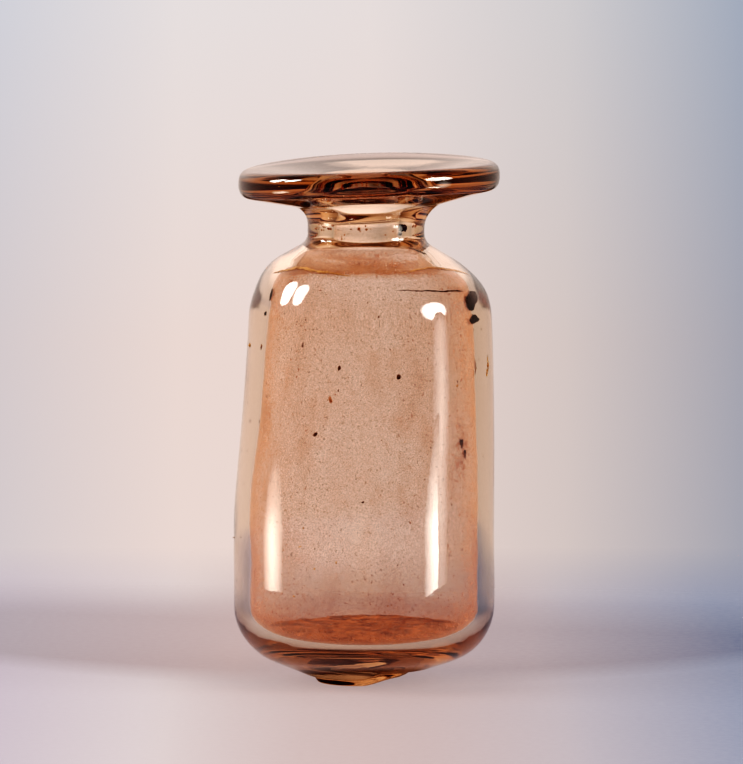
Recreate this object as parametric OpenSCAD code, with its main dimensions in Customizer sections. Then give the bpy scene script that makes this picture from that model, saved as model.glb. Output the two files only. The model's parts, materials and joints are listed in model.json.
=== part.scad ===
// Hand-blown glass vial with a wide flared lip, a waisted neck and a pontil scar,
// holding the dried residue of its last contents. It stands on the table at z = 0,
// its axis is the Z axis, and its front is towards -Y.

/* [Body] */
// Outside diameter of the body, low on the wall
body_d = 36; // [34:0.5:42]
// Outside diameter just under the shoulder
shoulder_d = 33; // [31:0.5:35]
// Height at which the body starts to taper
taper_z = 24; // [18:1:34]
// Height at which the wall and the shoulder would meet in a sharp corner
shoulder_z = 56.3; // [52:0.1:57]
// Rise of the shoulder towards the neck, degrees
shoulder_slope = 30; // [20:1:32]
// Outside rounding of the shoulder
shoulder_round = 6; // [3:0.5:7]
// Outside rounding of the heel
heel_round = 8; // [5:0.5:9]
// Thickness of the glass low on the wall
wall_low = 2.2; // [1.6:0.1:3]
// Thickness of the glass high on the wall
wall_high = 2.7; // [2:0.1:3.2]
// Thickness of the glass across the shoulder
shoulder_wall = 2; // [1.4:0.1:2.8]

/* [Base] */
// Rise of the underside from the scar out to the heel, degrees
base_slope = 21; // [8:1:24]
// Height of the inside floor above the table
floor_z = 6.6; // [5.5:0.1:9]
// Inside rounding between the floor and the wall
floor_round = 4.5; // [2:0.5:6]
// Outside diameter of the pontil scar
scar_d = 12; // [9:0.5:14]
// Diameter of the hollow in the pontil scar
scar_hollow_d = 6.4; // [3:0.2:7]
// Height of the pontil scar
scar_h = 0.9; // [0.6:0.1:1.4]
// How far the pontil scar sits from the axis, towards -X
scar_shift = 0.8; // [0:0.1:1.5]

/* [Neck and lip] */
// Outside diameter of the neck at its waist
neck_d = 16; // [14:0.5:18]
// Diameter of the bore that takes the stopper
bore_d = 9; // [7:0.5:10]
// Outside diameter of the lip
lip_d = 36; // [30:0.5:40]
// Thickness of the lip at its rim
lip_t = 3.3; // [2.6:0.1:4]
// Height of the top of the rim above the table
lip_z = 71.7; // [70:0.1:78]
// Rise of the underside of the lip towards the rim, degrees
lip_slope = 13; // [4:1:16]
// How far the top of the lip dishes down to the bore
lip_dish = 0.7; // [0:0.1:1.2]

/* [Dried contents] */
// Thickness of the film on the inside of the wall
film_t = 0.25; // [0.15:0.05:0.5]
// Thickness of the crust at the middle of the floor
crust_t = 0.9; // [0.6:0.1:1.6]
// Tilt of the crust, which lies higher at the back, degrees
crust_tilt = 5; // [0:1:8]
// Radius of the bead that the tide line left under the shoulder
tide_bead = 0.7; // [0.4:0.1:1]
// Size of the largest dark lump on the right of the shoulder
clot_d = 2.2; // [1.2:0.1:2.8]

/* [Hidden] */
$fn = 96;

arc_steps = 8;
glass_tint = [0.86, 0.74, 0.66, 0.45];
film_tint = [0.80, 0.56, 0.44, 0.8];
crust_tint = [0.50, 0.22, 0.12];
clot_tint = [0.10, 0.05, 0.04];
rust_tint = [0.78, 0.40, 0.12];

body_r = body_d / 2;
shoulder_r = shoulder_d / 2;
neck_r = neck_d / 2;
bore_r = bore_d / 2;
lip_r = lip_d / 2;
scar_r = scar_d / 2;

// The underside is flat where the scar is fused on, and rises from there to the heel.
seat_r = scar_r + scar_shift;
heel_z = scar_h + (body_r - seat_r) * tan(base_slope);
neck_root_z = shoulder_z + (shoulder_r - neck_r) * tan(shoulder_slope);
lip_under_z = lip_z - lip_t;
lip_root_z = lip_under_z - (lip_r - neck_r) * tan(lip_slope);
mouth_z = lip_z - lip_dish;
neck_round = 3.2;
root_round = 1.8;
rim_round = lip_t * 0.46;
mouth_round = 2.4;
taper_round = 60;

// Fillets inside the glass.
cavity_shoulder_z = shoulder_z - shoulder_wall / cos(shoulder_slope)
    + wall_high * tan(shoulder_slope);
throat_z = cavity_shoulder_z + (shoulder_r - wall_high - bore_r) * tan(shoulder_slope);
cavity_shoulder_round = 3;
throat_round = 1.5;

// A stopper passes clear of the dried film by this much.
stopper_clearance = 0.4;
film_foot_z = floor_z + 1.2;
film_r = shoulder_r - wall_high - film_t;
// The wall tapers, so a flat-backed speck stands off the film by this much.
film_sink = 0.02;
tall = lip_z * 2;

// ---- Outlines: corners are [radius, height, rounding] ----

function unit(v) = v / norm(v);

function turned(v, angle) = [
    v.x * cos(angle) - v.y * sin(angle),
    v.x * sin(angle) + v.y * cos(angle),
];

// Points along the arc that rounds corner b between its neighbours a and c.
function corner_arc(a, b, c, radius) =
    let (
        to_a = unit(a - b),
        to_c = unit(c - b),
        half = acos(to_a * to_c) / 2,
        centre = b + unit(to_a + to_c) * radius / sin(half),
        start = b + to_a * radius / tan(half) - centre,
        finish = b + to_c * radius / tan(half) - centre,
        sweep = sign(cross(start, finish)) * (180 - 2 * half)
    )
    [for (i = [0 : arc_steps]) centre + turned(start, sweep * i / arc_steps)];

function place(corner) = [corner[0], corner[1]];

function rounded(corners) =
    let (n = len(corners))
    [
        for (i = [0 : n - 1])
            each corners[i][2] == 0
                ? [place(corners[i])]
                : corner_arc(
                    place(corners[(i + n - 1) % n]),
                    place(corners[i]),
                    place(corners[(i + 1) % n]),
                    corners[i][2]
                )
    ];

// The outside, from the middle of the seat up to the edge of the mouth.
outside_corners = [
    [0, scar_h, 0],
    [seat_r, scar_h, 1],
    [body_r, heel_z, heel_round],
    [body_r, taper_z, taper_round],
    [shoulder_r, shoulder_z, shoulder_round],
    [neck_r, neck_root_z, root_round],
    [neck_r, lip_root_z, neck_round],
    [lip_r, lip_under_z, rim_round],
    [lip_r, lip_z, rim_round],
    [bore_r, mouth_z, mouth_round],
];

// The inside, from the throat down to the floor, drawn in by inset all round.
function cavity_corners(inset) = [
    [bore_r - inset, throat_z - inset, throat_round + inset],
    [
        shoulder_r - wall_high - inset,
        cavity_shoulder_z - inset / cos(shoulder_slope) + inset * tan(shoulder_slope),
        cavity_shoulder_round - inset,
    ],
    [body_r - wall_low - inset, taper_z, taper_round],
    [body_r - wall_low - inset, floor_z + inset, floor_round - inset],
    [0, floor_z + inset, 0],
];

// The space inside the bottle as a solid, drawn in by inset all round.
module cavity(inset) {
    rotate_extrude()
        polygon(rounded(concat(
            [[0, tall, 0], [bore_r - inset, tall, 0]],
            cavity_corners(inset)
        )));
}

// Places its children on a radius, at an angle from the front towards +X, and a height.
module around(angle, radius, height) {
    rotate([0, 0, angle - 90])
        translate([radius, 0, height])
            children();
}

// ---- Sub-parts ----

// The blown vessel: body, shoulder, neck and flared lip in one gather of glass.
module bottle() {
    color(glass_tint)
        rotate_extrude()
            polygon(rounded(concat(outside_corners, cavity_corners(0))));
}

// The glass that the pontil rod left on the base, off centre and hollow in the middle.
module pontil_scar() {
    edge = scar_h * 0.6;
    color(glass_tint)
        translate([-scar_shift, 0, 0])
            rotate_extrude()
                polygon(rounded([
                    [scar_hollow_d / 2, 0, 0],
                    [scar_r, 0, edge],
                    [scar_r, scar_h, 0],
                    [0, scar_h, 0],
                    [0, scar_h * 0.5, 0],
                ]));
}

// The dry film on the inside of the wall and the shoulder, short of the stopper's bore.
module wall_film() {
    color(film_tint)
        difference() {
            cavity(0);
            cavity(film_t);
            cylinder(r = bore_r + stopper_clearance, h = tall);
            cylinder(r = body_d, h = film_foot_z);
        }
}

// The cake that settled on the floor, deeper towards the back.
module floor_crust() {
    color(crust_tint)
        intersection() {
            cavity(film_t);
            translate([0, 0, floor_z])
                rotate([crust_tilt, 0, 0])
                    cylinder(r = body_r - wall_low - floor_round * 0.7, h = 2 * crust_t, center = true);
        }
}

// The bead that the surface of the liquid left as it dried, across the front of the shoulder.
module tide_ring() {
    front_sweep = 112;
    color(crust_tint)
        rotate([0, 0, -90 - front_sweep / 2])
            rotate_extrude(angle = front_sweep)
                intersection() {
                    polygon(rounded(concat([[0, shoulder_z, 0]], cavity_corners(film_t))));
                    translate([film_r - 1.2, cavity_shoulder_z - 0.4])
                        circle(r = tide_bead);
                }
}

// A lump of dried matter stuck to the film: one large ball and one smaller beside it.
module clot(size) {
    sphere(d = size);
    translate([0, size * 0.3, -size * 0.35])
        sphere(d = size * 0.7);
}

// Two dark lumps low on the right of the shoulder, and a smear under the throat.
module shoulder_clots() {
    smear_r = film_r * 0.65;
    color(clot_tint)
        intersection() {
            cavity(film_t);
            union() {
                around(86, film_r, shoulder_z - 3)
                    clot(clot_d);
                around(84, film_r + 0.2, shoulder_z - 5.6)
                    clot(clot_d * 0.6);
                around(60, smear_r, cavity_shoulder_z + (film_r - smear_r) * tan(shoulder_slope))
                    clot(clot_d * 0.5);
            }
        }
}

// Half of a ball, standing on its flat side towards +Z.
module bump(size) {
    rotate_extrude()
        intersection() {
            circle(d = size);
            square(size);
        }
}

// Depth by which a flat side of this size would cut into a round wall of this radius.
function sagitta(size, radius) = radius - sqrt(radius * radius - size * size / 4);

// Radius of the body's outside, or of the film's inside face, at a height on the wall.
function taper_r(low, high, z) =
    low - (low - high) * max(0, z - taper_z) / (shoulder_z - taper_z);
function outside_r(z) = taper_r(body_r, shoulder_r, z);
function film_face_r(z) =
    taper_r(body_r - wall_low, shoulder_r - wall_high, z) - film_t;

// Dark specks on the film: each is [angle from the front towards +X, height, size].
specks = [
    [18, 42.6, 1.1],
    [-30, 34.6, 0.8],
    [-20, 43.8, 0.9],
    [-2, 25.5, 0.7],
    [54, 33, 1.6],
    [54, 31, 1.2],
];

module film_specks() {
    color(clot_tint)
        for (speck = specks) {
            face_r = film_face_r(speck[1]);
            around(speck[0], face_r - sagitta(speck[2], face_r) - film_sink, speck[1])
                rotate([0, -90, 0])
                    bump(speck[2]);
        }
}

// Flecks of dirt on the outside of the glass: each is [angle, radius, height, size].
flecks = [
    [72, outside_r(44), 44, 1.1],
    [-64, outside_r(51), 51, 1.2],
    [41, neck_r, neck_root_z + 2, 1.3],
];

module outer_flecks() {
    color(rust_tint)
        for (fleck = flecks)
            around(fleck[0], fleck[1], fleck[2])
                rotate([0, 90, 0])
                    bump(fleck[3]);
}

bottle();
pontil_scar();
wall_film();
floor_crust();
tide_ring();
shoulder_clots();
film_specks();
outer_flecks();
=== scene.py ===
"""Looks of the hand-blown vial: glass, dried film, crust and dirt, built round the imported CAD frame.

Outlines are worked in millimetres and turned to metres where a mesh is made.
"""

import json
import math

import bpy
import numpy as np
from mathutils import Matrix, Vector


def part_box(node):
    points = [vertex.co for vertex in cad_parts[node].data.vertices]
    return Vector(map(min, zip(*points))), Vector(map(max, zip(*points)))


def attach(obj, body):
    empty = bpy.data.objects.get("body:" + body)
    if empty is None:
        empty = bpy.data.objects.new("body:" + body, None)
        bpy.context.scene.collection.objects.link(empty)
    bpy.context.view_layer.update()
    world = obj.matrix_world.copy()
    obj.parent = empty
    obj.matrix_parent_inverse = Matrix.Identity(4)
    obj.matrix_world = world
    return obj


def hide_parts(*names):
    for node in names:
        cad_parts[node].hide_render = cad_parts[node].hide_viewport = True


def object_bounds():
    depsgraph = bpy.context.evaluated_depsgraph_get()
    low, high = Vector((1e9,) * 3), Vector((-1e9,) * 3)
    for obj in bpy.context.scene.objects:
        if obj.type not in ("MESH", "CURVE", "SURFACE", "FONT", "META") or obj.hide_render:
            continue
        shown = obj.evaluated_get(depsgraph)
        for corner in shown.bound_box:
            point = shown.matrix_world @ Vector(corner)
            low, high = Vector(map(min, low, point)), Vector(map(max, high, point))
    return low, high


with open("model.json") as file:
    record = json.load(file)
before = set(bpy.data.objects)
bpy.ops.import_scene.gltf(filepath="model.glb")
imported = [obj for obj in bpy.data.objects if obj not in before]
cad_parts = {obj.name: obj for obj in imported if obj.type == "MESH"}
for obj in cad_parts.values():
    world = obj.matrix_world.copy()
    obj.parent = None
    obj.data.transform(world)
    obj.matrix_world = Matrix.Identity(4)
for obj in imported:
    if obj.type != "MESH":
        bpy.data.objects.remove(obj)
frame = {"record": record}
cad_low, cad_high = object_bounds()

# ---- Sizes from the frame, in millimetres ----

MM = 0.001
BODY = "root"
bottle_low, bottle_high = (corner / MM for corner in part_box("bottle"))
scar_low, scar_high = (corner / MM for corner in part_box("pontil_scar"))
neck_bore = next(m for m in frame["record"]["mounts"] if m["name"] == "neck_bore")

body_r = (bottle_high.x - bottle_low.x) / 2
lip_r = body_r
seat_z = bottle_low.z
top_z = bottle_high.z
bore_r = neck_bore["dims"]["r_mm"]
scar_x = (scar_low.x + scar_high.x) / 2
scar_r = (scar_high.x - scar_low.x) / 2

# ---- The vial's own proportions, in millimetres and degrees ----

floor_t = 5.25
floor_z = seat_z + floor_t
shoulder_r = 16.5
neck_r = 8.0
taper_z = 24.0
shoulder_z = 56.5
shoulder_angle = math.radians(30)
shoulder_slope = math.tan(shoulder_angle)
base_slope = math.tan(math.radians(21))
lip_slope = math.tan(math.radians(13))
lip_t = 3.3
lip_edge_round = lip_t * 0.46
lip_dish = 1.5
rim_rise = 0.1
wall_low = 2.2
wall_high = 2.7
shoulder_wall = 1.7
taper_round = 60
inner_shoulder_round = 6.0
inner_heel_round = 4.5
seat_r = scar_r + 0.8
scar_reach = 12
neck_root_z = shoulder_z + (shoulder_r - neck_r) * shoulder_slope
lip_under_z = top_z - lip_t
cavity_shoulder_z = shoulder_z - shoulder_wall / math.cos(shoulder_angle) + wall_high * shoulder_slope
throat_z = cavity_shoulder_z + (shoulder_r - wall_high - bore_r) * shoulder_slope

# The height of the line where the contents once stood, and the middle of a brown smear on the film
tide_z = cavity_shoulder_z + 1.6
smear_at = (12.8, -9.2, 33.5)

# How far the dried film stands off the glass, so that their faces don't touch
air_gap = 0.1

# How many steps the glass and the film are turned in
vial_segments = 216


# ---- Outlines: corners are (radius, height, rounding) ----

def corner_arc(before, corner, after, radius):
    """Points along the arc that rounds a corner between its neighbours."""
    steps = 12
    to_before = (before - corner) / np.linalg.norm(before - corner)
    to_after = (after - corner) / np.linalg.norm(after - corner)
    half = math.acos(float(to_before @ to_after)) / 2
    middle = to_before + to_after
    centre = corner + middle / np.linalg.norm(middle) * radius / math.sin(half)
    start = corner + to_before * radius / math.tan(half) - centre
    finish = corner + to_after * radius / math.tan(half) - centre
    turn = math.copysign(math.pi - 2 * half, start[0] * finish[1] - start[1] * finish[0])
    points = []
    for angle in np.linspace(0, turn, steps):
        c, s = math.cos(angle), math.sin(angle)
        points.append(centre + (c * start[0] - s * start[1], s * start[0] + c * start[1]))
    return points


def rounded(corners):
    """An open outline whose inner corners are rounded. Its two ends stay where they are."""
    places = [np.array(corner[:2], float) for corner in corners]
    points = [places[0]]
    for before, place, after, corner in zip(places, places[1:], places[2:], corners[1:]):
        points += corner_arc(before, place, after, corner[2])
    points.append(places[-1])
    return np.array(points)


def spaced(points, flat_step, turn_step):
    """The outline again, with its points close together where it bends and apart where it's straight."""
    dense_step = 0.02
    softening_passes = 400
    lengths = np.linalg.norm(np.diff(points, axis=0), axis=1)
    along = np.r_[0, np.cumsum(lengths)]
    s = np.linspace(0, along[-1], int(along[-1] / dense_step))
    dense = np.column_stack([np.interp(s, along, points[:, k]) for k in range(2)])
    for _ in range(softening_passes):
        dense[1:-1] = (dense[:-2] + 2 * dense[1:-1] + dense[2:]) / 4
    edges = np.diff(dense, axis=0)
    heading = np.unwrap(np.arctan2(edges[:, 1], edges[:, 0]))
    turning = np.r_[0, np.abs(np.diff(heading))]
    cost = np.r_[0, np.cumsum(np.linalg.norm(edges, axis=1) / flat_step + turning / turn_step)]
    at = np.linspace(0, cost[-1], int(cost[-1]) + 1)
    return np.column_stack([np.interp(at, cost, dense[:, k]) for k in range(2)])


def cavity_corners(inset):
    """The inside of the vial from the throat down to the middle of the floor, drawn in by inset."""
    low_r = body_r - wall_low - inset
    high_r = shoulder_r - wall_high - inset
    high_z = cavity_shoulder_z - inset / math.cos(shoulder_angle) + inset * shoulder_slope
    return [
        (bore_r - inset, throat_z - inset, 1.5),
        (high_r, high_z, inner_shoulder_round - inset),
        (low_r, taper_z, taper_round),
        (low_r, floor_z + inset, inner_heel_round - inset),
        (0, floor_z + inset, 0),
    ]


outside_corners = [
    (0, seat_z, 0),
    (seat_r, seat_z, 1.2),
    (body_r, seat_z + (body_r - seat_r) * base_slope, 8),
    (body_r, taper_z, taper_round),
    (shoulder_r, shoulder_z, 10),
    (neck_r, neck_root_z, 1.8),
    (neck_r, lip_under_z - (lip_r - neck_r) * lip_slope, 3.2),
    (lip_r, lip_under_z, lip_edge_round),
    (lip_r, top_z + rim_rise, lip_edge_round),
    (bore_r, top_z - lip_dish, 4.0),
]


# ---- How the blown shape departs from a turned one ----

def smooth(x, low, high):
    """Rises gently from 0 at low to 1 at high."""
    t = np.clip((x - low) / (high - low), 0, 1)
    return t * t * (3 - 2 * t)


def lean(z):
    """How far the middle of the vial wanders towards +X with height, on its way up from the scar."""
    shift = -0.7 * (1 - smooth(z, 1, 5))
    for step, low, high in ((0.85, 20, 48), (-0.85, 54, 60), (0.3, 59, 62), (0.4, 63, 69)):
        shift = shift + step * smooth(z, low, high)
    return shift


def waves(turn, z, seed, longest):
    """Smooth unevenness between about -1 and 1 that closes round the axis."""
    count = 14
    rng = np.random.default_rng(seed)
    total = np.zeros(np.broadcast(turn, z).shape)
    for _ in range(count):
        around = int(rng.integers(0, 5))
        upward = math.tau / (longest * rng.uniform(0.35, 1))
        total += rng.uniform(0.4, 1) * np.sin(around * turn + upward * z + rng.uniform(0, math.tau))
    return total / math.sqrt(count)


def blown(radius, turn, z, inside):
    """Places points of a turned outline on the blown vial, in millimetres."""
    in_neck = smooth(z, 57, 60) * (1 - smooth(z, 65, 68))
    uneven = 0.05 * (waves(turn, z, 3, 40) + waves(turn, z, 9, 9) * in_neck)
    if inside:
        uneven = uneven + 0.03 * waves(turn, z, 7, 30)
    oval = 0.12 * np.cos(2 * turn + 0.6)
    off_axis = smooth(radius, 1, 8)
    wide = radius + off_axis * (uneven * smooth(z, 6, 14) + oval)
    in_lip = smooth(z, 63, 68) * smooth(radius, bore_r - 1, lip_r)
    in_lip_top = smooth(z, 68.3, 71)
    rise = 0.28 + 0.33 * in_lip_top
    tilt = 0.58 * np.cos(turn) + 0.2 * in_lip_top * np.sin(turn)
    saddle = -(0.38 - 0.14 * in_lip_top) * np.cos(2 * turn)
    x = wide * np.cos(turn)
    y = wide * np.sin(turn)
    return np.stack([x + lean(z), y, z + in_lip * (rise + tilt + saddle)], axis=-1)


def wall_radius(z):
    """The outside of the body, which narrows towards the shoulder."""
    return body_r - (body_r - shoulder_r) * max(0, z - taper_z) / (shoulder_z - taper_z)


# ---- Meshes ----

def mesh_object(name, points, faces, material):
    """A smooth-shaded object from points in millimetres."""
    mesh = bpy.data.meshes.new(name)
    mesh.from_pydata([tuple(p) for p in np.asarray(points) * MM], [], faces)
    mesh.validate()
    mesh.polygons.foreach_set("use_smooth", [True] * len(mesh.polygons))
    mesh.materials.append(material)
    made = bpy.data.objects.new(name, mesh)
    bpy.context.scene.collection.objects.link(made)
    return made


def piece(name, shape, material, slot, *nodes):
    """A finished piece of the vial from (points, faces). It stands for the CAD nodes that are named."""
    made = mesh_object(name, *shape, material)
    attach(made, BODY)
    if nodes:
        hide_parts(*nodes)


def around_axis(count):
    """Angles spaced evenly round the axis."""
    return np.arange(count) * math.tau / count


def ring_faces(rings, segments, first=0):
    """Quads between rings of vertices that follow each other."""
    faces = []
    for i in range(rings - 1):
        here = first + i * segments
        there = here + segments
        for k in range(segments):
            n = (k + 1) % segments
            faces.append((here + k, here + n, there + n, there + k))
    return faces


def turned_mesh(outline, segments, place):
    """A closed surface of revolution whose outline starts and ends on the axis.

    The place function turns each (radius, angle, height) into a point.
    """
    turn = around_axis(segments)
    radii, heights = outline[1:-1].T
    rings = len(radii)
    grid = place(radii[:, None], turn[None, :], heights[:, None])
    on_axis = np.zeros((1, 1))
    tips = [place(on_axis, on_axis, np.full((1, 1), height))[0, 0] for height in outline[[0, -1], 1]]
    faces = ring_faces(rings, segments)
    first_tip = rings * segments
    last_ring = first_tip - segments
    for k in range(segments):
        n = (k + 1) % segments
        faces.append((first_tip, n, k))
        faces.append((first_tip + 1, last_ring + k, last_ring + n))
    return np.vstack([grid.reshape(-1, 3), tips]), faces


def ball(centre, radii, axes=np.eye(3), rows=8, columns=12, seed=0, rough=0.0, inward=False):
    """A small closed lump: an ellipsoid on the given axes whose surface wanders by rough times its radius.

    Its faces look outwards, or inwards for a bubble.
    """
    polar = np.arange(1, rows) * math.pi / rows
    around = around_axis(columns)
    rings = np.stack([
        np.sin(polar)[:, None] * np.cos(around),
        np.sin(polar)[:, None] * np.sin(around),
        np.cos(polar)[:, None] * np.ones(columns),
    ], axis=-1)
    points = np.vstack([[[0, 0, 1]], rings.reshape(-1, 3), [[0, 0, -1]]])
    rng = np.random.default_rng(seed)
    for _ in range(5 if rough else 0):
        direction = rng.normal(size=3) * 2.2
        points = points * (1 + rough * 0.5 * np.sin(points @ direction + rng.uniform(0, math.tau)))[:, None]
    points = (points * np.asarray(radii)) @ np.asarray(axes) + np.asarray(centre)
    last = len(points) - 1
    faces = [face[::-1] for face in ring_faces(rows - 1, columns, 1)]
    for k in range(columns):
        n = (k + 1) % columns
        faces.append((0, 1 + k, 1 + n))
        faces.append((last, last - columns + n, last - columns + k))
    mirrored = bool(np.linalg.det(axes) < 0)
    if inward != mirrored:
        faces = [face[::-1] for face in faces]
    return points, faces


def joined(parts):
    """Several (points, faces) as one."""
    all_points, all_faces, first = [], [], 0
    for points, faces in parts:
        all_points.append(points)
        all_faces += [tuple(i + first for i in face) for face in faces]
        first += len(points)
    return np.vstack(all_points), all_faces


# ---- Materials ----

class Nodes:
    """Short forms for building a material's node tree."""

    def __init__(self, name="", world=None):
        self.material = world or bpy.data.materials.new(name)
        self.material.use_nodes = True
        self.tree = self.material.node_tree
        self.tree.nodes.clear()
        self.output = self.tree.nodes.new("ShaderNodeOutputWorld" if world else "ShaderNodeOutputMaterial")

    def add(self, kind, **settings):
        node = self.tree.nodes.new(kind)
        for key, value in settings.items():
            setattr(node, key, value)
        return node

    def link(self, source, target):
        self.tree.links.new(source, target)

    def set(self, socket, value):
        """Links a socket to another, or gives it a plain value."""
        if isinstance(value, bpy.types.NodeSocket):
            self.link(value, socket)
        else:
            socket.default_value = value

    def maths(self, operation, a, b=0.0):
        node = self.add("ShaderNodeMath", operation=operation)
        self.set(node.inputs[0], a)
        self.set(node.inputs[1], b)
        return node.outputs[0]

    def times(self, a, b):
        return self.maths("MULTIPLY", a, b)

    def plus(self, a, b):
        return self.maths("ADD", a, b)

    def minus(self, a, b):
        return self.maths("SUBTRACT", a, b)

    def length(self, *parts):
        """The root of the sum of the parts' squares."""
        total = 0.0
        for part in parts:
            total = self.plus(total, self.times(part, part))
        return self.maths("SQRT", total)

    def drawn_out(self, along_z):
        """Object coordinates for a pattern that is stretched along Z."""
        node = self.add("ShaderNodeMapping")
        self.link(self.add("ShaderNodeTexCoord").outputs["Object"], node.inputs["Vector"])
        node.inputs["Scale"].default_value = (1, 1, along_z)
        return node.outputs["Vector"]

    def noise(self, scale, detail, roughness=0.55, vector=None):
        node = self.add("ShaderNodeTexNoise")
        node.inputs["Scale"].default_value = scale
        node.inputs["Detail"].default_value = detail
        node.inputs["Roughness"].default_value = roughness
        if vector is None:
            vector = self.add("ShaderNodeTexCoord").outputs["Object"]
        self.link(vector, node.inputs["Vector"])
        return node.outputs["Fac"]

    def span(self, value, low, high, to_low=0.0, to_high=1.0):
        """Maps low..high to to_low..to_high, and stays inside it."""
        node = self.add("ShaderNodeMapRange", clamp=True)
        self.set(node.inputs["Value"], value)
        node.inputs["From Min"].default_value = low
        node.inputs["From Max"].default_value = high
        node.inputs["To Min"].default_value = to_low
        node.inputs["To Max"].default_value = to_high
        return node.outputs["Result"]

    def blend(self, share, a, b):
        """A colour that goes from a to b."""
        node = self.add("ShaderNodeMix", data_type="RGBA")
        self.set(node.inputs["Factor"], share)
        for socket, value in ((node.inputs[6], a), (node.inputs[7], b)):
            if isinstance(value, tuple):
                value = (*value, 1.0)
            self.set(socket, value)
        return node.outputs[2]

    def ramp(self, value, stops):
        """A colour read from (position, colour) stops."""
        node = self.add("ShaderNodeValToRGB")
        self.link(value, node.inputs[0])
        elements = node.color_ramp.elements
        elements[0].position, elements[1].position = stops[0][0], stops[-1][0]
        elements[0].color, elements[1].color = (*stops[0][1], 1), (*stops[-1][1], 1)
        for position, colour in stops[1:-1]:
            elements.new(position).color = (*colour, 1)
        return node.outputs[0]

    def tinted(self, colour, tint):
        """A colour multiplied by a tint."""
        node = self.add("ShaderNodeMix", data_type="RGBA", blend_type="MULTIPLY")
        node.inputs["Factor"].default_value = 1.0
        self.link(colour, node.inputs[6])
        node.inputs[7].default_value = (*tint, 1.0)
        return node.outputs[2]

    def mix_shaders(self, share, a, b):
        node = self.add("ShaderNodeMixShader")
        self.set(node.inputs[0], share)
        self.link(a, node.inputs[1])
        self.link(b, node.inputs[2])
        return node.outputs[0]

    def bump(self, height, strength, distance):
        node = self.add("ShaderNodeBump")
        node.inputs["Strength"].default_value = strength
        node.inputs["Distance"].default_value = distance
        self.link(height, node.inputs["Height"])
        return node.outputs["Normal"]

    def object_point(self):
        """The X, Y and Z of the point being shaded, in metres."""
        split = self.add("ShaderNodeSeparateXYZ")
        self.link(self.add("ShaderNodeTexCoord").outputs["Object"], split.inputs[0])
        return split.outputs


def glass_material():
    """Faintly warm soda glass with drawn lines, darker where light travels far inside it."""
    n = Nodes("blown_glass")
    glass = n.add("ShaderNodeBsdfPrincipled")
    glass.inputs["Base Color"].default_value = (1.0, 0.99, 0.98, 1)
    glass.inputs["Transmission Weight"].default_value = 1.0
    glass.inputs["IOR"].default_value = 1.5
    x, y, z = n.object_point()
    from_scar = n.length(n.minus(x, scar_x * MM), y)
    on_scar = n.span(from_scar, (scar_r - 1.0) * MM, scar_r * MM, 1.0, 0.0)
    broken = n.times(on_scar, n.span(z, (seat_z + 0.9) * MM, (seat_z + 1.4) * MM, 0.3, 0.0))
    polished = n.span(n.noise(900, 3), 0.45, 0.75, 0.0, 0.03)
    n.link(n.maths("MAXIMUM", broken, polished), glass.inputs["Roughness"])
    lines = n.noise(230, 3, vector=n.drawn_out(0.3))
    n.link(n.bump(lines, 0.16, 0.00012), glass.inputs["Normal"])
    clear = n.add("ShaderNodeBsdfTransparent")
    clear.inputs["Color"].default_value = (0.96, 0.92, 0.9, 1)
    in_shadow = n.add("ShaderNodeLightPath").outputs["Is Shadow Ray"]
    n.link(n.mix_shaders(in_shadow, glass.outputs[0], clear.outputs[0]), n.output.inputs["Surface"])
    tint = n.add("ShaderNodeVolumeAbsorption")
    tint.inputs["Color"].default_value = (0.70, 0.38, 0.05, 1)
    tint.inputs["Density"].default_value = 92
    n.link(tint.outputs[0], n.output.inputs["Volume"])
    return n.material


def tide_stain(n, z, patch):
    """Where the film is stained by the contents' old level: a wandering line, broken in places."""
    wander = n.span(n.noise(60, 2, 0.5), 0.3, 0.7, -0.0004, 0.0004)
    off_tide = n.maths("ABSOLUTE", n.minus(n.plus(z, wander), tide_z * MM))
    return n.times(n.span(off_tide, 0.0001, 0.0011, 1.0, 0.0), n.span(patch, 0.3, 0.6, 0.4, 1.0))


def smear_stain(n, point, mottle):
    """Where the brown smear is: a blotch that is longer than it is wide."""
    across, deep, tall = (n.minus(part, middle * MM) for part, middle in zip(point, smear_at))
    off_smear = n.length(across, deep, n.times(tall, 0.4))
    return n.times(n.span(off_smear, 0.0005, 0.0021, 1.0, 0.0), n.span(mottle, 0.3, 0.6))


def settled_dust(n, z, patch):
    """Where dust has settled round the bottom of the wall."""
    uneven_z = n.plus(z, n.span(patch, 0.3, 0.7, -0.002, 0.002))
    return n.span(uneven_z, (floor_z + 1.0) * MM, (floor_z + 5.0) * MM, 1.0, 0.0)


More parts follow.
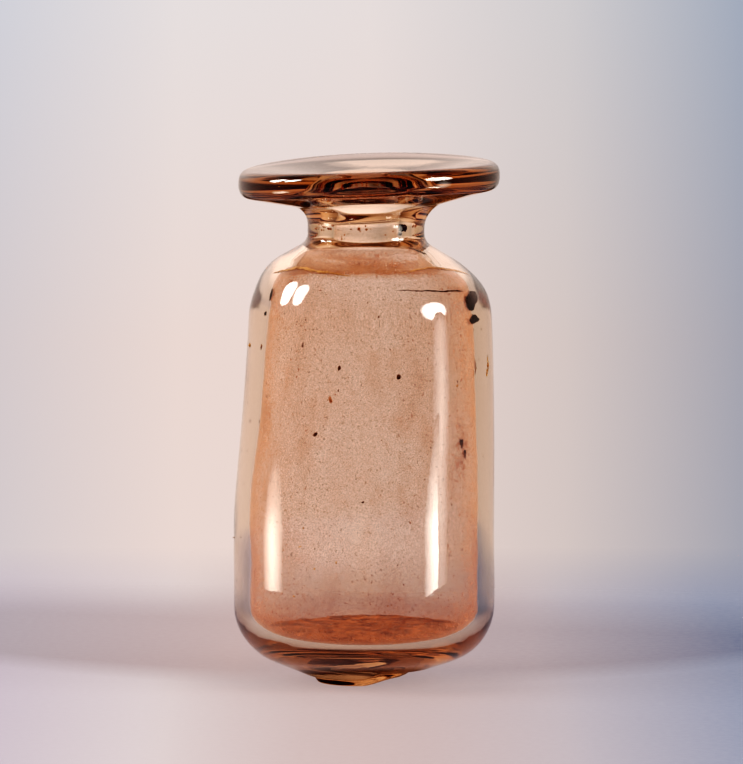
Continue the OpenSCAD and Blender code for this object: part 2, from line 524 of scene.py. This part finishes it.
def film_material():
    """A dry dusting: grains let light past between them, and close up where it's seen at a slant."""
    n = Nodes("dried_film")
    point = n.object_point()
    z = point[2]
    grain = n.noise(5200, 2, 0.7)
    mottle = n.noise(1100, 4, 0.65)
    patch = n.noise(110, 3, 0.55)
    runs = n.span(n.noise(170, 4, 0.62, vector=n.drawn_out(0.4)), 0.54, 0.76)
    speck = n.span(n.noise(2600, 1, 0.5), 0.66, 0.74)
    facing = n.add("ShaderNodeLayerWeight")
    facing.inputs["Blend"].default_value = 0.5
    slant = n.maths("MAXIMUM", n.minus(1.0, facing.outputs["Facing"]), 0.12)

    cover = n.plus(n.span(grain, 0.35, 0.65, -0.16, 0.16), n.span(mottle, 0.3, 0.7, -0.05, 0.07))
    cover = n.plus(cover, n.span(patch, 0.3, 0.7, 0.07, 0.21))
    colour = n.blend(n.span(mottle, 0.35, 0.65), (0.46, 0.21, 0.125), (0.66, 0.38, 0.27))
    on_wall = n.span(z, (cavity_shoulder_z - 1) * MM, (cavity_shoulder_z + 1) * MM, 1.0, 0.3)
    colour = n.blend(n.times(n.span(slant, 0.8, 0.35), on_wall), colour, (0.72, 0.38, 0.23))
    for where, added_cover, strength, stain in (
        (n.span(grain, 0.45, 0.62), 0.0, 0.35, (0.40, 0.15, 0.10)),
        (runs, 0.24, 0.7, (0.34, 0.12, 0.05)),
        (settled_dust(n, z, patch), 0.22, 0.7, (0.40, 0.15, 0.06)),
        (smear_stain(n, point, mottle), 0.35, 0.85, (0.20, 0.06, 0.03)),
        (tide_stain(n, z, patch), 0.50, 1.0, (0.38, 0.17, 0.06)),
        (speck, 0.35, 0.7, (0.20, 0.07, 0.05)),
    ):
        cover = n.plus(cover, n.times(where, added_cover))
        colour = n.blend(n.times(where, strength), colour, stain)
    cover = n.times(n.span(cover, 0, 1), n.span(z, throat_z * MM, (throat_z - 3) * MM, 0.35, 1.0))
    passed = n.maths("POWER", n.minus(1.0, cover), n.maths("DIVIDE", 1.0, slant))

    diffuse = n.add("ShaderNodeBsdfDiffuse")
    through = n.add("ShaderNodeBsdfTranslucent")
    n.link(colour, diffuse.inputs["Color"])
    n.link(colour, through.inputs["Color"])
    dust = n.mix_shaders(0.55, diffuse.outputs[0], through.outputs[0])
    clear = n.add("ShaderNodeBsdfTransparent")
    back_side = n.add("ShaderNodeNewGeometry").outputs["Backfacing"]
    shown = n.times(n.minus(1.0, passed), n.minus(1.0, back_side))
    n.link(n.mix_shaders(shown, clear.outputs[0], dust), n.output.inputs["Surface"])
    return n.material


def crust_material(name, dark, light, spark, scale=700):
    """Rough dried matter in patches from dark to light, with a few bright grains."""
    n = Nodes(name)
    surface = n.add("ShaderNodeBsdfPrincipled")
    patches = n.noise(scale * 0.35, 3, 0.5)
    lumps = n.noise(scale, 5, 0.65)
    grains = n.noise(scale * 4, 2, 0.6)
    mixed = n.plus(n.span(patches, 0.35, 0.65, -0.12, 0.12), lumps)
    colour = n.blend(n.span(mixed, 0.36, 0.64), dark, light)
    colour = n.blend(n.span(grains, 0.62, 0.7), colour, spark)
    n.link(colour, surface.inputs["Base Color"])
    n.link(n.span(lumps, 0.3, 0.7, 0.75, 0.95), surface.inputs["Roughness"])
    surface.inputs["Specular IOR Level"].default_value = 0.2
    height = n.plus(lumps, n.times(grains, 0.4))
    n.link(n.bump(height, 0.8, 0.0003), surface.inputs["Normal"])
    n.link(surface.outputs[0], n.output.inputs["Surface"])
    return n.material


glass = glass_material()
film = film_material()
crust = crust_material("dried_crust", (0.07, 0.012, 0.004), (0.38, 0.13, 0.05), (0.62, 0.32, 0.16))
tide = crust_material("tide_line", (0.36, 0.16, 0.06), (0.62, 0.34, 0.15), (0.8, 0.5, 0.26), 1100)
black = crust_material("dark_residue", (0.006, 0.002, 0.003), (0.03, 0.010, 0.010), (0.08, 0.04, 0.03), 1500)
specks = crust_material("speck_residue", (0.03, 0.010, 0.008), (0.14, 0.05, 0.03), (0.25, 0.12, 0.07), 1500)
amber = crust_material("amber_residue", (0.22, 0.06, 0.015), (0.50, 0.20, 0.05), (0.80, 0.50, 0.22), 1600)
rust = crust_material("rust_dirt", (0.30, 0.10, 0.02), (0.62, 0.30, 0.08), (0.8, 0.5, 0.2), 1800)


# ---- The glass ----

def scar(points):
    """Presses the pontil scar into the underside: a broken ring of glass with a hollow in the middle."""
    x, y, z = points.T
    off = x - scar_x
    away = np.hypot(off, y)
    towards_right = smooth(off / np.maximum(away, 1e-6), -0.6, 0.6)
    in_scar = 1 - smooth(away, scar_r - 0.5, scar_r + 0.4 + 1.8 * towards_right)
    turn = np.arctan2(y, off)
    jagged = 0.06 * waves(turn, away * 6, 21, 9) * smooth(away, 0.5, 2)
    hollow = 0.62 * (1 - smooth(away, 1.6, 4.4)) + np.maximum(jagged, 0)
    worn_away = 0.75 * smooth(x, -0.5, 4) * (1 - smooth(away, 7, 11))
    return z * (1 - in_scar) + hollow * in_scar + worn_away


def glass_outline():
    """The glass from the middle of its underside, over the lip and down to the middle of the cavity floor.

    The underside gets close rings for the scar. The second result is where the inside begins.
    """
    outline = spaced(rounded(outside_corners + cavity_corners(0)), 0.75, math.radians(4))
    top = int(np.argmax(outline[:, 1]))
    reach = int(np.argmax(outline[:, 0] >= scar_reach))
    radii, heights = outline[:reach + 1].T
    close_radii = np.linspace(0, radii[-1], 70)
    underside = np.column_stack([close_radii, np.interp(close_radii, radii, heights)])
    outline = np.vstack([underside, outline[reach + 1:]])
    top += len(underside) - reach - 1
    inside_from = top + int(np.argmax(outline[top:, 0] <= bore_r + 0.3))
    return outline, inside_from


def bubbles():
    """Seeds in the wall, a little drawn out, and in the floor. Their surfaces face inwards."""
    rng = np.random.default_rng(5)
    made = []
    for _ in range(46):
        turn = rng.uniform(0, math.tau)
        z = rng.uniform(10, 50)
        depth = rng.uniform(0.5, 1.7)
        middle = blown(np.array(wall_radius(z) - depth), np.array(turn), np.array(z), False)
        size = rng.uniform(0.05, 0.14)
        radii = (size, size, size * rng.uniform(1, 2.2))
        made.append(ball(middle, radii, rows=6, columns=8, inward=True))
    for _ in range(14):
        turn = rng.uniform(0, math.tau)
        away = rng.uniform(1, 9)
        size = rng.uniform(0.06, 0.16)
        middle = (away * math.cos(turn), away * math.sin(turn), rng.uniform(3.5, 5.2))
        made.append(ball(middle, (size, size, size), rows=6, columns=8, inward=True))
    return made


def build_glass():
    """The vessel as one closed surface, from the scar over the lip to the floor, with its bubbles."""
    outline, inside_from = glass_outline()

    def place(radius, turn, z):
        ring = np.arange(1, len(radius) + 1)
        inside = smooth(ring, inside_from - 5, inside_from + 25)[:, None, None]
        return blown(radius, turn, z, False) * (1 - inside) + blown(radius, turn, z, True) * inside

    points, faces = turned_mesh(outline, vial_segments, place)
    under = (points[:, 2] < floor_z - 1) & (np.hypot(points[:, 0], points[:, 1]) < scar_reach)
    points[under, 2] = scar(points[under])
    shape = joined([(points, faces)] + bubbles())
    piece("bottle_glass", shape, glass, "glass", "bottle", "pontil_scar")


# ---- The dried contents ----

def inside_place(radius, turn, z):
    """A place on the inside of the blown vial."""
    return blown(radius, turn, z, True)


def build_film():
    """A thin closed lining a little way off the glass, from the neck to the floor."""
    skin = 0.12
    top = 64.5
    outer, inner = (
        spaced(rounded([(bore_r - inset, top, 0)] + cavity_corners(inset)), 0.75, math.radians(5))
        for inset in (air_gap, air_gap + skin)
    )
    shape = turned_mesh(np.vstack([outer[::-1], inner]), vial_segments, inside_place)
    piece("wall_film_dust", shape, film, "dried_film", "wall_film")


def crust_lumps(x, y):
    """Small swells on the crust, made of many waves that run in different directions."""
    longest = 3.5
    rng = np.random.default_rng(12)
    total = np.zeros_like(x)
    for _ in range(40):
        direction = rng.uniform(0, math.tau)
        pitch = rng.uniform(0.6, longest)
        height = rng.uniform(0.3, 1) * pitch / longest
        along = x * math.cos(direction) + y * math.sin(direction)
        total += height * np.sin(along * math.tau / pitch + rng.uniform(0, math.tau))
    return 0.035 * total


def crust_place(share, turn, top):
    """A place on the crust: share runs from its middle to its edge, and top is 0 underneath and 1 above."""
    reach = 13.2
    radius = share * reach * (1 + 0.05 * waves(turn, np.zeros_like(turn), 31, 10))
    x = radius * np.cos(turn)
    y = radius * np.sin(turn)
    bend = inner_heel_round - 0.2
    past_flat = np.clip(radius - (body_r - wall_low - inner_heel_round), 0, bend * 0.98)
    ground = floor_z + air_gap + 0.2 + bend - np.sqrt(bend ** 2 - past_flat ** 2)
    thick = (np.maximum(0.62 + 0.065 * y, 0.12) + crust_lumps(x, y)) * (1 - smooth(share, 0.86, 1.0))
    z = ground + top * np.maximum(thick, 0.02)
    return np.stack([x + lean(np.array(floor_z)), y, z], axis=-1)


def build_crust():
    """The cake on the floor: a lumpy lens, deeper towards the back, with a ragged edge."""
    share = np.linspace(0, 1, 61)
    underside = np.column_stack([share, np.zeros_like(share)])
    upper_side = np.column_stack([share[::-1], np.ones_like(share)])
    shape = turned_mesh(np.vstack([underside, upper_side]), 160, crust_place)
    piece("floor_crust_cake", shape, crust, "dried_crust", "floor_crust")


inside_outline = rounded([(bore_r, lip_under_z, 0)] + cavity_corners(0))[::-1]


def on_inside(azimuth, z, depth):
    """A spot on the inside of the glass, depth millimetres into it, and the axes along, out of and up it.

    The azimuth is 0 at the front and 90 degrees on the right.
    """
    turn = np.radians(np.asarray(azimuth, float) - 90)
    z = np.asarray(z, float)
    heights, radii = inside_outline[:, 1], inside_outline[:, 0]
    step = 0.15
    radius, above, below = (np.interp(z + dz, heights, radii) for dz in (0, step, -step))
    run = np.stack([above - below, np.full_like(z, 2 * step)], axis=-1)
    run /= np.linalg.norm(run, axis=-1)[..., None]
    out = np.stack([np.cos(turn), np.sin(turn), np.zeros_like(turn)], axis=-1)
    along = np.stack([-np.sin(turn), np.cos(turn), np.zeros_like(turn)], axis=-1)
    up = np.array([0, 0, 1.0])
    upward = out * run[..., :1] + up * run[..., 1:]
    outward = out * run[..., 1:] - up * run[..., :1]
    spot = blown(radius, turn, z, True) + outward * depth
    return spot, np.stack([along, outward, upward], axis=-2)


def lump(azimuth, z, wide, tall, thick, seed, depth=0.15, rows=8, columns=12):
    """A lump of residue on the inside of the glass, sunk a little into it unless the depth is negative."""
    spot, axes = on_inside(azimuth, z, depth)
    return ball(spot, (wide / 2, thick / 2, tall / 2), axes, rows, columns, seed, 0.35)


def strand(stops, thick, seed):
    """A ragged line of residue on the inside of the glass. Stops are (azimuth, height, width)."""
    depth = 0.12
    steps = 90
    sides = 8
    stops = np.array(stops, float)
    share = np.linspace(0, 1, steps)
    azimuth, z, width = (np.interp(share, np.linspace(0, 1, len(stops)), stops[:, k]) for k in range(3))
    softening_passes = 12
    for _ in range(softening_passes):
        z[1:-1] = (z[:-2] + 2 * z[1:-1] + z[2:]) / 4
    rng = np.random.default_rng(seed)
    for ripples in (3, 7, 13):
        z = z + 0.10 / ripples * np.sin(ripples * share * math.tau + rng.uniform(0, math.tau))
        width = width * (1 + 0.2 * np.sin(ripples * 1.7 * share * math.tau + rng.uniform(0, math.tau)))
    pointed_ends = np.sqrt(np.clip(1 - (2 * share - 1) ** 4, 0.01, 1))
    width = width * pointed_ends
    spots, axes = on_inside(azimuth, z, depth)
    angle = around_axis(sides)
    half_width = width[:, None] / 2
    half_thick = thick / 2 * np.minimum(1, width[:, None] / thick)
    points = (
        spots[:, None]
        + axes[:, None, 2] * (half_width * np.cos(angle))[..., None]
        + axes[:, None, 1] * (half_thick * np.sin(angle))[..., None]
    )
    faces = ring_faces(steps, sides)
    faces.append(tuple(range(sides))[::-1])
    faces.append(tuple(range((steps - 1) * sides, steps * sides)))
    return points.reshape(-1, 3), faces


def build_tide():
    """The beads left along the line where the contents once stood."""
    parts = [
        strand([(-74, 56.4, 0.2), (-52, 57.5, 0.45), (-30, 57.3, 0.4), (-10, 57.0, 0.2)], 0.25, 41),
        strand([(22, 57.2, 0.15), (46, 57.6, 0.3), (66, 57.0, 0.4), (84, 55.8, 0.25)], 0.25, 42),
        strand([(96, 55.6, 0.15), (140, 56.7, 0.3), (176, 57.0, 0.2)], 0.25, 43),
        strand([(205, 57.0, 0.15), (236, 56.8, 0.35), (270, 56.4, 0.2)], 0.25, 44),
    ]
    piece("tide_line_bead", joined(parts), tide, "dried_crust", "tide_ring")


def build_clots():
    """Near-black lumps on the shoulder and in the neck, with the thin lines that ran between them."""
    parts = [
        lump(66, 53.2, 2.4, 1.7, 0.8, 51),
        lump(66, 50.9, 2.2, 0.9, 0.6, 52),
        lump(-65, 54.0, 0.5, 1.3, 0.3, 54),
        lump(-68, 51.6, 0.3, 0.5, 0.2, 55),
        lump(62, 63.9, 1.1, 1.2, 0.4, 56),
        lump(56, 62.6, 0.4, 0.5, 0.3, 60),
        strand([(14, 55.3, 0.08), (34, 55.0, 0.16), (60, 54.5, 0.24)], 0.15, 57),
        strand([(50, 60.0, 0.15), (56, 59.5, 0.5), (62, 58.9, 0.3)], 0.25, 58),
    ]
    piece("shoulder_clot_lumps", joined(parts), black, "dark_residue", "shoulder_clots")


def build_neck_residue():
    """Amber flecks caught round the bore and just under the throat."""
    rng = np.random.default_rng(61)
    parts = []
    for seed in range(600, 630):
        wide = rng.uniform(0.12, 0.42)
        azimuth = rng.uniform(0, 360)
        z = rng.uniform(60.9, 64.2)
        tall = wide * rng.uniform(0.6, 1.6)
        parts.append(lump(azimuth, z, wide, tall, 0.2, seed))
    piece("neck_residue_flecks", joined(parts), amber, "dried_crust")


def build_specks():
    """Specks on the dusty lining: a few large ones, most of them at the front, and many small ones."""
    places = [
        (15, 43.9, 0.5, 0.6, 71),
        (-27, 35.9, 0.5, 0.5, 72),
        (-16, 45.1, 0.4, 0.7, 73),
        (-1, 26.8, 0.35, 0.35, 74),
        (53, 34.2, 0.6, 1.6, 75),
        (56, 32.6, 0.5, 1.2, 76),
        (-38, 48.0, 0.25, 0.5, 77),
    ]
    depth = -air_gap
    parts = [lump(azimuth, z, wide, tall, 0.1, seed, depth) for azimuth, z, wide, tall, seed in places]
    rng = np.random.default_rng(78)
    for seed in range(90):
        wide = rng.uniform(0.08, 0.22)
        azimuth = rng.uniform(0, 360)
        z = rng.uniform(11, 54)
        tall = wide * rng.uniform(0.8, 1.6)
        parts.append(lump(azimuth, z, wide, tall, 0.08, seed, depth, rows=5, columns=7))
    piece("film_speck_grains", joined(parts), specks, "dark_residue", "film_specks")


def build_outer_flecks():
    """Rusty dirt on the outside: a short smear on the right and a few grains round the vial."""
    rng = np.random.default_rng(81)
    places = [(72, 44.6, 0.5, 1.2), (70, 43.4, 0.4, 0.7), (-78, 47.2, 0.4, 0.6), (200, 38.0, 0.5, 0.8)]
    for _ in range(12):
        azimuth = rng.uniform(0, 360)
        z = rng.uniform(12, 52)
        wide = rng.uniform(0.12, 0.25)
        places.append((azimuth, z, wide, rng.uniform(0.15, 0.35)))
    parts = []
    for seed, (azimuth, z, wide, tall) in enumerate(places, 810):
        turn = math.radians(azimuth - 90)
        out = (math.cos(turn), math.sin(turn), 0)
        along = (-math.sin(turn), math.cos(turn), 0)
        spot = blown(np.array(wall_radius(z)), np.array(turn), np.array(z), False)
        parts.append(ball(spot, (wide / 2, 0.1, tall / 2), (along, out, (0, 0, 1)), seed=seed, rough=0.6))
    piece("outer_fleck_grains", joined(parts), rust, "rust_dirt", "outer_flecks")


build_glass()
build_film()
build_crust()
build_tide()
build_clots()
build_neck_residue()
build_specks()
build_outer_flecks()


# ---- The stage ----

def belt(n, azimuth, stops):
    """A ring of colour round the horizon from (degrees, colour) stops. 0 is behind, and 90 to the right."""
    once_round = n.span(azimuth, -math.pi, math.pi)
    return n.ramp(once_round, [(degrees / 360 + 0.5, colour) for degrees, colour in stops])


def rising(n, angle, low, high, to_low=0.0, to_high=1.0):
    """A share that changes between two angles in degrees."""
    return n.span(angle, math.radians(low), math.radians(high), to_low, to_high)


def world_light():
    """A pale backdrop for the camera, blue-grey to the right, and a plainer room for every other ray."""
    n = Nodes(world=bpy.data.worlds.new("studio"))
    split = n.add("ShaderNodeSeparateXYZ")
    n.link(n.add("ShaderNodeTexCoord").outputs["Generated"], split.inputs[0])
    x, y, z = split.outputs
    azimuth = n.maths("ARCTAN2", x, y)
    height = n.maths("ARCSINE", z)
    backdrop = belt(n, azimuth, (
        (-60, (0.80, 0.66, 0.60)),
        (-8, (0.74, 0.63, 0.60)),
        (-2.6, (0.64, 0.58, 0.60)),
        (-1.2, (0.85, 0.70, 0.645)),
        (0.0, (0.82, 0.67, 0.62)),
        (1.2, (0.71, 0.60, 0.56)),
        (2.4, (0.38, 0.385, 0.45)),
        (3.2, (0.34, 0.35, 0.41)),
        (60, (0.50, 0.43, 0.42)),
    ))
    cooler = rising(n, height, -5.2, -2.8)
    backdrop = n.blend(cooler, backdrop, n.tinted(backdrop, (0.96, 1.07, 1.14)))
    room = belt(n, azimuth, (
        (-178, (0.16, 0.12, 0.10)),
        (-120, (0.20, 0.15, 0.12)),
        (-90, (0.50, 0.40, 0.35)),
        (-40, (0.82, 0.67, 0.60)),
        (-12, (0.86, 0.70, 0.63)),
        (0, (0.82, 0.67, 0.61)),
        (9, (0.60, 0.51, 0.48)),
        (25, (0.72, 0.58, 0.51)),
        (90, (0.50, 0.40, 0.35)),
        (120, (0.20, 0.15, 0.12)),
    ))
    behind = n.times(rising(n, height, 2, 12), n.span(y, 0.35, 0.75))
    room = n.blend(behind, room, n.tinted(room, (1.65, 1.65, 1.65)))
    overhead = n.times(rising(n, height, 10, 35), n.span(y, 0.6, 0.2))
    room = n.blend(overhead, room, n.tinted(room, (0.42, 0.34, 0.27)))
    ahead = rising(n, n.maths("ABSOLUTE", azimuth), 14, 28, 1.0, 0.0)
    under = rising(n, height, -14, -11.5, 1.0, 0.0)
    room = n.blend(n.times(ahead, under), room, (0.05, 0.03, 0.02))
    seen = n.add("ShaderNodeLightPath").outputs["Is Camera Ray"]
    back = n.add("ShaderNodeBackground")
    n.link(n.blend(seen, room, backdrop), back.inputs["Color"])
    n.link(back.outputs[0], n.output.inputs["Surface"])
    bpy.context.scene.world = n.material


def aimed(made, azimuth, elevation, away, height=None):
    """Stands something away from the vial, facing it. Azimuth 0 is at the front and 90 on the right."""
    a, e = math.radians(azimuth), math.radians(elevation)
    back = Vector((math.sin(a) * math.cos(e), -math.cos(a) * math.cos(e), math.sin(e)))
    middle = (cad_low.z + cad_high.z) / 2 if height is None else height
    made.location = Vector((0, 0, middle)) + back * away
    made.rotation_mode = "QUATERNION"
    made.rotation_quaternion = back.to_track_quat("Z", "Y")


def lamp(name, azimuth, elevation, size, power, colour):
    """A large soft lamp that lights the room but isn't seen mirrored in the glass."""
    data = bpy.data.lights.new(name, "AREA")
    data.size = size
    data.energy = power
    data.color = colour
    made = bpy.data.objects.new(name, data)
    made.visible_glossy = False
    made.visible_transmission = False
    aimed(made, azimuth, elevation, 0.6)
    bpy.context.scene.collection.objects.link(made)


def window(name, azimuth, elevation, away, width, height, strength, colour, sharp=0.75, aim=None):
    """A soft-edged bright card that is seen only as a mirrored highlight on the glass."""
    n = Nodes(name)
    split = n.add("ShaderNodeSeparateXYZ")
    n.link(n.add("ShaderNodeTexCoord").outputs["UV"], split.inputs[0])
    offsets = [n.maths("ABSOLUTE", n.minus(part, 0.5)) for part in split.outputs[:2]]
    off = n.length(*(n.span(offset, 0, 0.5) for offset in offsets))
    glow = n.add("ShaderNodeEmission")
    glow.inputs["Color"].default_value = (*colour, 1)
    n.link(n.span(off, sharp, 1.0, strength, 0.0), glow.inputs["Strength"])
    clear = n.add("ShaderNodeBsdfTransparent")
    outside = n.span(off, 0.98, 1.0)
    n.link(n.mix_shaders(outside, glow.outputs[0], clear.outputs[0]), n.output.inputs["Surface"])
    made = sheet(name, width / 2, height / 2, 0, n.material)
    layer = made.data.uv_layers.new()
    for corner, uv in zip(layer.data, ((0, 0), (1, 0), (1, 1), (0, 1))):
        corner.uv = uv
    made.visible_camera = False
    made.visible_diffuse = False
    made.visible_transmission = False
    made.visible_shadow = False
    aimed(made, azimuth, elevation, away, aim)


def sheet(name, half_width, half_depth, z, material):
    """A flat rectangle of the stage, in metres."""
    signs = ((-1, -1), (1, -1), (1, 1), (-1, 1))
    corners = np.array([(i * half_width, j * half_depth, z) for i, j in signs])
    made = mesh_object(name, corners / MM, [(0, 1, 2, 3)], material)
    return made


def paper_colour(n, x, y):
    """Pale paper with painted light and shade: a painted shade band behind the vial, a painted shadow of the
    vial in front, and painted light that is cooler and darker to the right.
    """
    # Painted light: the paper is brightest a little left of the middle and falls off to the sides, darker
    # and bluer to the right.
    across = n.span(x, -0.06, 0.06)
    pale = n.ramp(across, [
        (0.05, (0.56, 0.50, 0.59)),
        (0.28, (0.70, 0.63, 0.65)),
        (0.5, (0.64, 0.53, 0.54)),
        (0.72, (0.53, 0.48, 0.53)),
        (0.93, (0.30, 0.33, 0.45)),
        (1.0, (0.28, 0.31, 0.43)),
    ])
    # Painted shade: the colour of the shaded band on the paper behind the vial.
    painted_shade_band = n.ramp(across, [
        (0.0, (0.42, 0.38, 0.44)),
        (0.35, (0.55, 0.43, 0.43)),
        (0.7, (0.44, 0.37, 0.40)),
        (0.95, (0.20, 0.22, 0.31)),
    ])
    # Painted shadow: the paper is darker and pinker just in front of the vial, where its shadow falls.
    in_middle = n.span(n.maths("ABSOLUTE", x), 0.008, 0.03, 1.0, 0.0)
    painted_vial_shadow = n.times(in_middle, n.span(y, -0.03, 0.0, 0.6, 1.0))
    pale = n.blend(n.times(painted_vial_shadow, 0.75), pale, (0.55, 0.42, 0.41))
    # The painted shade band starts just behind the vial along a bowed line and ends further back.
    bow = n.times(n.times(x, x), 8.0)
    shade_start = n.span(n.minus(y, bow), -0.006, 0.010)
    far_edge = n.span(x, -0.05, 0.06, 0.098, 0.070)
    shade_stop = n.span(n.minus(y, far_edge), -0.022, 0.022, 1.0, 0.0)
    colour = n.blend(n.times(shade_start, shade_stop), pale, painted_shade_band)
    fibre = n.span(n.noise(900, 4), 0.3, 0.7, 0.0, 0.04)
    return n.blend(fibre, colour, (1, 1, 1))


def floor():
    """A pale table that glows with painted light and fades into the room far off, with a painted contact
    shadow under the vial.
    """
    n = Nodes("paper")
    x, y = n.object_point()[:2]
    away = n.length(x, y)
    colour = paper_colour(n, x, y)
    paper = n.add("ShaderNodeBsdfDiffuse")
    glow = n.add("ShaderNodeEmission")
    n.link(n.tinted(colour, (0.25, 0.25, 0.25)), paper.inputs["Color"])
    n.link(colour, glow.inputs["Color"])
    direct = n.add("ShaderNodeLightPath").outputs["Is Camera Ray"]
    # Painted light and shadow: for rays that are not from the camera the paper's glow dims farther from the
    # vial and is taken away under the vial as a contact shadow.
    contact_shadow = n.span(away, 0.0075, 0.0105)
    painted_glow_round_vial = n.times(n.span(away, 0.03, 0.06, 0.66, 0.50), contact_shadow)
    n.link(n.maths("MAXIMUM", painted_glow_round_vial, n.times(direct, 0.66)), glow.inputs["Strength"])
    lit = n.add("ShaderNodeAddShader")
    n.link(paper.outputs[0], lit.inputs[0])
    n.link(glow.outputs[0], lit.inputs[1])
    fade = n.maths("MAXIMUM", n.span(away, 0.45, 0.7), n.span(y, 0.085, 0.16))
    clear = n.add("ShaderNodeBsdfTransparent")
    n.link(n.mix_shaders(fade, lit.outputs[0], clear.outputs[0]), n.output.inputs["Surface"])
    half_side = 0.9
    just_below = -0.02 * MM
    sheet("floor", half_side, half_side, just_below, n.material)


def camera():
    """A long lens a little above the vial, at the photo's viewing angle."""
    distance = 1.1
    elevation = math.radians(5.5)
    view_height = 0.10597
    aim = Vector((1.04, 0, 41.8)) * MM
    data = bpy.data.cameras.new("camera")
    data.sensor_width = 36
    data.lens = data.sensor_width * distance / view_height
    data.clip_end = 50
    made = bpy.data.objects.new("camera", data)
    back = Vector((0, -math.cos(elevation), math.sin(elevation)))
    made.location = aim + back * distance
    made.rotation_mode = "QUATERNION"
    made.rotation_quaternion = back.to_track_quat("Z", "Y")
    bpy.context.scene.collection.objects.link(made)
    bpy.context.scene.camera = made


world_light()
floor()

# Azimuth, elevation
for name, azimuth, elevation in (("left_lamp", -80, 35), ("right_lamp", 64, 30)):
    lamp(name, azimuth, elevation, 0.35, 4.2, (1.0, 0.95, 0.88))

# Azimuth, elevation, width, height: the bright spots high on the body and on the lip
for name, azimuth, elevation, width, height in (
    ("left_window", -97, 29, 0.15, 0.26),
    ("left_window_near", -81, 33, 0.14, 0.26),
    ("right_window", 64, 19, 0.31, 0.28),
):
    window(name, azimuth, elevation, 0.6, width, height, 26, (1.0, 0.96, 0.90))

# Azimuth, width, height, strength, colour, height of the middle: the tall glares low on the body
for name, azimuth, width, height, strength, colour, middle in (
    ("right_card", 61, 0.054, 0.044, 29, (1.0, 0.94, 0.84), 0.009),
    ("right_card_tall", 65, 0.044, 0.110, 8, (1.0, 0.92, 0.82), 0.030),
    ("left_card", -83, 0.056, 0.052, 19, (1.0, 0.86, 0.72), 0.009),
):
    window(name, azimuth, 0, 0.13, width, height, strength, colour, 0.1, middle)

camera()

scene = bpy.context.scene
scene.view_settings.view_transform = "Standard"

# A tone curve that deepens the dark glass
scene.view_settings.use_curve_mapping = True
curves = scene.view_settings.curve_mapping
for stop in ((0.04, 0.009), (0.12, 0.07), (0.32, 0.305)):
    curves.curves[3].points.new(*stop)
curves.update()

# Light is trapped in the thick glass for many bounces
bounces = 32
scene.cycles.max_bounces = bounces
scene.cycles.transmission_bounces = bounces
scene.cycles.glossy_bounces = bounces
scene.cycles.transparent_max_bounces = bounces
